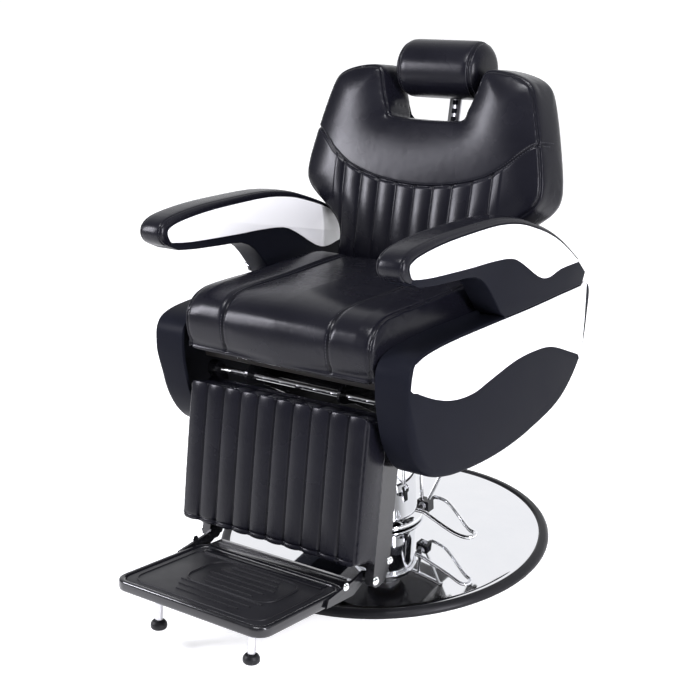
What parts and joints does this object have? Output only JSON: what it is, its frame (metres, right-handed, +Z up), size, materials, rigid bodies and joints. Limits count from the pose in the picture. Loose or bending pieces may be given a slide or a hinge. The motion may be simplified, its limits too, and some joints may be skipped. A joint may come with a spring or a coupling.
{
  "type": "barber chair",
  "caption": "Reclining hydraulic barber chair on a round chrome base, with padded arms, sliding headrest, hinged leg rest, folding footplate, pump pedal and recline lever.",
  "frame": {"origin": "on the floor, under the centre of the round base", "axes": "+Z up; the chair faces -Y; +X is the sitter's left, where the pump pedal is"},
  "size_m": [0.72, 1.0263, 1.036],
  "materials": {
    "chrome": "mirror-bright plating",
    "steel": "bare turned steel",
    "bronze": "plain bearing bronze",
    "black_steel": "gloss black paint",
    "black_leather": "semi-gloss black upholstery, fine grain",
    "black_plastic": "satin moulded black",
    "white_gloss": "glossy white",
    "rubber": "matt black",
    "plywood": "raw plywood"
  },
  "bodies": {
    "base": {"base_plate": "chrome", "base_rim": "rubber", "pump_skirt": "chrome", "pump_housing": "chrome", "pump_cylinder": "steel", "guide_bush": "bronze", "pedal_hanger": "chrome", "pedal_carrier": "black_steel"},
    "pedal": {"pump_pedal": "chrome"},
    "lift": {"piston_rod": "chrome", "swivel_hub": "steel"},
    "seat": {"mount_plate": "black_steel", "frame_side_left": "black_steel", "frame_side_right": "black_steel", "cross_tube_front": "black_steel", "cross_tube_rear": "black_steel", "recline_shaft": "chrome", "legrest_shaft": "chrome", "seat_board": "plywood", "seat_cushion": "black_leather", "side_cover_left": "black_plastic", "side_cover_right": "black_plastic", "cover_panel_left": "white_gloss", "cover_panel_right": "white_gloss", "arm_left": "black_plastic", "arm_right": "black_plastic", "arm_pad_left": "black_leather", "arm_pad_right": "black_leather", "arm_panel_inner_left": "white_gloss", "arm_panel_inner_right": "white_gloss", "arm_panel_outer_left": "white_gloss", "arm_panel_outer_right": "white_gloss", "arm_bracket_left": "black_steel", "arm_bracket_right": "black_steel", "lever_boss": "black_steel"},
    "lever": {"recline_lever": "chrome", "lever_grip": "black_plastic"},
    "backrest": {"backrest_cushion": "black_leather", "backrest_panel": "black_plastic", "back_bracket_left": "black_steel", "back_bracket_right": "black_steel", "headrest_guide": "black_steel"},
    "headrest_bar": {"headrest_bar": "chrome"},
    "headrest": {"headrest_cushion": "black_leather"},
    "legrest": {"calf_pad": "black_leather", "legrest_cheek_left": "black_steel", "legrest_cheek_right": "black_steel", "legrest_board": "plywood", "legrest_brace": "black_steel"},
    "footplate": {"footplate_tray": "black_steel", "footplate_mat": "rubber", "footplate_leg_left": "chrome", "footplate_leg_right": "chrome", "rubber_foot_left": "rubber", "rubber_foot_right": "rubber", "footplate_arm_left": "black_steel", "footplate_arm_right": "black_steel"},
    "strut_cylinder": {"strut_cylinder": "black_steel"},
    "strut_rod": {"strut_rod": "chrome"},
    "legrest_link": {"legrest_link": "black_steel"}
  },
  "joints": [
    {"name": "lift_slide", "type": "slide", "parent": "base", "child": "lift", "axis": [0, 0, 1], "range_m": [0, 0.15]},
    {"name": "seat_swivel", "type": "hinge", "parent": "lift", "child": "seat", "pos_m": [0, 0, 0.29], "axis": [0, 0, 1], "continuous": true},
    {"name": "recline", "type": "hinge", "parent": "seat", "child": "backrest", "pos_m": [0, 0.19, 0.49], "axis": [-1, 0, 0], "range_deg": [0, 45]},
    {"name": "legrest_swing", "type": "hinge", "parent": "seat", "child": "legrest", "pos_m": [0, -0.272, 0.447], "axis": [-1, 0, 0], "range_deg": [0, 50]},
    {"name": "footplate_fold", "type": "hinge", "parent": "legrest", "child": "footplate", "pos_m": [0, -0.339, 0.11], "axis": [-1, 0, 0], "range_deg": [0, 20]},
    {"name": "headrest_slide", "type": "slide", "parent": "backrest", "child": "headrest_bar", "axis": [0, 0.2874, 0.9578], "range_m": [0, 0.09]},
    {"name": "headrest_tilt", "type": "hinge", "parent": "headrest_bar", "child": "headrest", "pos_m": [0, 0.33648, 0.92517], "axis": [1, 0, 0], "range_deg": [-10, 25]},
    {"name": "lever_pull", "type": "hinge", "parent": "seat", "child": "lever", "pos_m": [-0.322, -0.012, 0.578], "axis": [-1, 0, 0], "range_deg": [0, 20], "stiffness_Nm_per_rad": 2, "springref_deg": -8.59},
    {"name": "pedal_press", "type": "hinge", "parent": "base", "child": "pedal", "pos_m": [0.112, 0, 0.102], "axis": [0, 1, 0], "range_deg": [0, 14], "stiffness_Nm_per_rad": 5, "springref_deg": -8.59},
    {"name": "strut_swing", "type": "hinge", "parent": "seat", "child": "strut_cylinder", "pos_m": [-0.1355, 0, 0.461], "axis": [-1, 0, 0], "range_deg": [0, 9.3]},
    {"name": "strut_slide", "type": "slide", "parent": "strut_cylinder", "child": "strut_rod", "axis": [0, 0.9833, -0.182], "range_m": [-0.0605, 0]},
    {"name": "link_swing", "type": "hinge", "parent": "legrest", "child": "legrest_link", "pos_m": [0.173, -0.23375, 0.36498], "axis": [-1, 0, 0], "range_deg": [-50, 0]}
  ],
  "couplings": [
    {"joint": "legrest_swing", "follows": "recline", "ratio": 1.1111},
    {"joint": "strut_swing", "follows": "recline", "ratio": 0.205},
    {"joint": "strut_slide", "follows": "recline", "m_per_rad": -0.0765},
    {"joint": "link_swing", "follows": "recline", "ratio": -1.1111}
  ]
}
